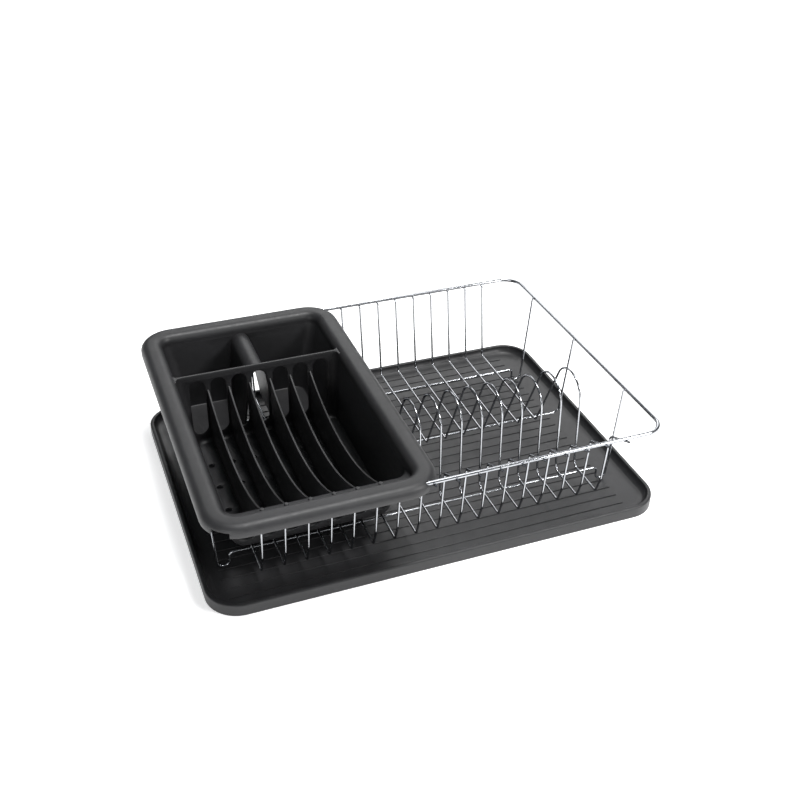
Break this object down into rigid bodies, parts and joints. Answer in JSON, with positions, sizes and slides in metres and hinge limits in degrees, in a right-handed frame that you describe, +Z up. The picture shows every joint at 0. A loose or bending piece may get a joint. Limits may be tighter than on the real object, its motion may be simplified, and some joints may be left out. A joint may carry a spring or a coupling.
{
  "type": "dish drying rack",
  "caption": "Dish drying rack: wire basket with plate loops on runner feet, standing in a rounded drip tray, with a hook-on plastic caddy for cutlery and small plates.",
  "frame": {"origin": "centre of the bounding box at the level the tray stands on", "axes": "+Z up, +X along the long side away from the caddy, +Y towards the back"},
  "size_m": [0.515, 0.3918, 0.1356],
  "materials": {
    "tray_plastic": "fine satin texture",
    "chrome_wire": "bright chrome plating",
    "caddy_plastic": "fine satin texture"
  },
  "bodies": {
    "tray": {"drip_tray": "tray_plastic"},
    "basket": {"rim_wire": "chrome_wire", "back_runner_wire": "chrome_wire", "middle_runner_wire": "chrome_wire", "front_runner_wire": "chrome_wire", "cross_wire_01": "chrome_wire", "cross_wire_02": "chrome_wire", "cross_wire_03": "chrome_wire", "cross_wire_04": "chrome_wire", "cross_wire_05": "chrome_wire", "cross_wire_06": "chrome_wire", "cross_wire_07": "chrome_wire", "cross_wire_08": "chrome_wire", "plate_wire_09": "chrome_wire", "plate_wire_10": "chrome_wire", "plate_wire_11": "chrome_wire", "plate_wire_12": "chrome_wire", "plate_wire_13": "chrome_wire", "plate_wire_14": "chrome_wire", "plate_wire_15": "chrome_wire", "plate_wire_16": "chrome_wire", "plate_wire_17": "chrome_wire"},
    "caddy": {"caddy": "caddy_plastic"}
  },
  "joints": [
    {"name": "basket_lift", "type": "slide", "parent": "tray", "child": "basket", "axis": [0, 0, 1], "range_m": [0, 0.06]},
    {"name": "caddy_lift", "type": "slide", "parent": "basket", "child": "caddy", "axis": [0, 0, 1], "range_m": [0, 0.11]}
  ]
}
